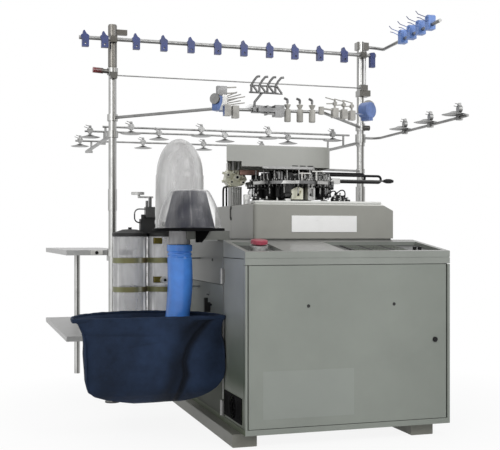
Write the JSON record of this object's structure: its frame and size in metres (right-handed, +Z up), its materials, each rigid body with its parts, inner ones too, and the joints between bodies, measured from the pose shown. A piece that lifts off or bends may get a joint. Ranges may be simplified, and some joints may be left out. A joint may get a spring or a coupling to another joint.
{
  "type": "sock_knitting_machine",
  "caption": "Circular sock knitting machine with front cabinet, sloping control desk, knitting head under a hood, clear sock collector with hose and bag, air tanks and an overhead yarn frame with creel shelves",
  "frame": {"origin": "the floor point under the needle cylinder axis, on the floor face of the cross rail", "axes": "+X right along the front, +Y to the back, +Z up"},
  "size_m": [2.1493, 2.895, 2.3045],
  "materials": {
    "dark_paint": "satin",
    "grey_paint": "satin",
    "pale_paint": "satin",
    "cream_paint": "satin",
    "bright_steel": "brushed",
    "tube_steel": "polished",
    "black_plastic": "matte",
    "red_plastic": "gloss",
    "grey_plastic": "matte",
    "clear_plastic": "clear",
    "blue_plastic": "satin",
    "blue_plastic_dark": "gloss",
    "navy_fabric": "woven",
    "dark_net": "net",
    "brass_metal": "worn",
    "black_rubber": "matte"
  },
  "bodies": {
    "root": {"bag": "navy_fabric", "bag_rim": "bright_steel", "base_plate": "grey_paint", "bed_casting": "grey_paint", "bell": "clear_plastic", "bell_net": "dark_net", "blue_hose": "blue_plastic", "body_covers": "grey_paint", "cabinet_back_panel": "grey_paint", "cabinet_sides": "grey_paint", "cam_plate": "bright_steel", "cam_ring": "dark_paint", "clamp_unit": "cream_paint", "collector_base": "dark_paint", "collector_dome": "clear_plastic", "console_body": "grey_paint", "cross_rails": "dark_paint", "dial_head": "bright_steel", "drive_belt": "black_rubber", "drive_motor": "dark_paint", "fan_housing": "black_plastic", "fan_panel": "grey_paint", "feeder_frame": "tube_steel", "feeder_units": "grey_plastic", "guide_bars": "tube_steel", "guide_cluster": "tube_steel", "head_covers": "pale_paint", "head_hoses": "black_rubber", "hood": "pale_paint", "keypad": "black_plastic", "left_post": "tube_steel", "left_side_cover": "grey_paint", "left_skid": "dark_paint", "plate_guides": "tube_steel", "rack_frame": "tube_steel", "right_post": "tube_steel", "right_skid": "dark_paint", "selector_banks": "black_plastic", "shelves": "pale_paint", "solenoid_blocks": "black_plastic", "tank_fittings": "brass_metal", "tanks": "clear_plastic", "yarn_brakes": "grey_plastic", "yarn_fingers": "bright_steel", "yarn_guides": "blue_plastic_dark"},
    "door": {"front_door": "grey_paint"},
    "lock": {"door_lock": "black_plastic"},
    "latch": {"side_latch": "black_plastic"},
    "fan": {"fan_rotor": "black_plastic"},
    "stop": {"stop_button": "red_plastic"},
    "left_knob": {"knob_left": "black_plastic"},
    "right_knob": {"knob_right": "black_plastic"},
    "cylinder": {"cylinder_shaft": "bright_steel", "needle_cylinder": "bright_steel"},
    "dial_rotor": {"dial": "bright_steel"},
    "motor_rotor": {"motor_pulley": "bright_steel"},
    "lever": {"hand_lever": "bright_steel"},
    "left_wheel": {"left_feed_disc": "tube_steel"},
    "right_wheel": {"right_feed_disc": "tube_steel"}
  },
  "joints": [
    {"name": "door_hinge", "type": "hinge", "parent": "root", "child": "door", "pos_m": [-0.4645, -0.743, 0.089], "axis": [0, 0, -1], "range_deg": [0, 110]},
    {"name": "lock_turn", "type": "hinge", "parent": "door", "child": "lock", "pos_m": [0.503, -0.755, 0.487], "axis": [0, 1, 0], "range_deg": [0, 90]},
    {"name": "latch_turn", "type": "hinge", "parent": "root", "child": "latch", "pos_m": [-0.493, -0.142, 0.64], "axis": [1, 0, 0], "range_deg": [0, 90]},
    {"name": "fan_spin", "type": "hinge", "parent": "root", "child": "fan", "pos_m": [-0.493, -0.556, 0.167], "axis": [1, 0, 0], "continuous": true},
    {"name": "stop_press", "type": "slide", "parent": "root", "child": "stop", "axis": [0, 0.1356, -0.9908], "range_m": [0, 0.006], "stiffness_N_per_m": 400},
    {"name": "knob_left_turn", "type": "hinge", "parent": "root", "child": "left_knob", "pos_m": [0.439, -0.65745, 0.92618], "axis": [0, -0.1356, 0.9908], "range_deg": [-135, 135]},
    {"name": "knob_right_turn", "type": "hinge", "parent": "root", "child": "right_knob", "pos_m": [0.468, -0.65745, 0.92618], "axis": [0, -0.1356, 0.9908], "range_deg": [-135, 135]},
    {"name": "cylinder_spin", "type": "hinge", "parent": "root", "child": "cylinder", "pos_m": [0, 0, 0.66], "axis": [0, 0, 1], "continuous": true},
    {"name": "dial_spin", "type": "hinge", "parent": "root", "child": "dial_rotor", "pos_m": [0, 0, 1.325], "axis": [0, 0, 1], "continuous": true},
    {"name": "motor_spin", "type": "hinge", "parent": "root", "child": "motor_rotor", "pos_m": [0.3, 0.15, 0.69], "axis": [0, 0, 1], "continuous": true},
    {"name": "lever_turn", "type": "hinge", "parent": "root", "child": "lever", "pos_m": [0.266, -0.062, 1.321], "axis": [0, -1, 0], "range_deg": [0, 40]},
    {"name": "left_disc_spin", "type": "hinge", "parent": "root", "child": "left_wheel", "pos_m": [-0.41077, 0.0902, 1.774], "axis": [-0.7507, -0.6606, 0], "continuous": true},
    {"name": "right_disc_spin", "type": "hinge", "parent": "root", "child": "right_wheel", "pos_m": [0.63915, 0.33631, 1.806], "axis": [0.4512, 0.8924, 0], "continuous": true}
  ],
  "couplings": [
    {"joint": "dial_spin", "follows": "cylinder_spin", "ratio": 1},
    {"joint": "motor_spin", "follows": "cylinder_spin", "ratio": 2.5}
  ]
}
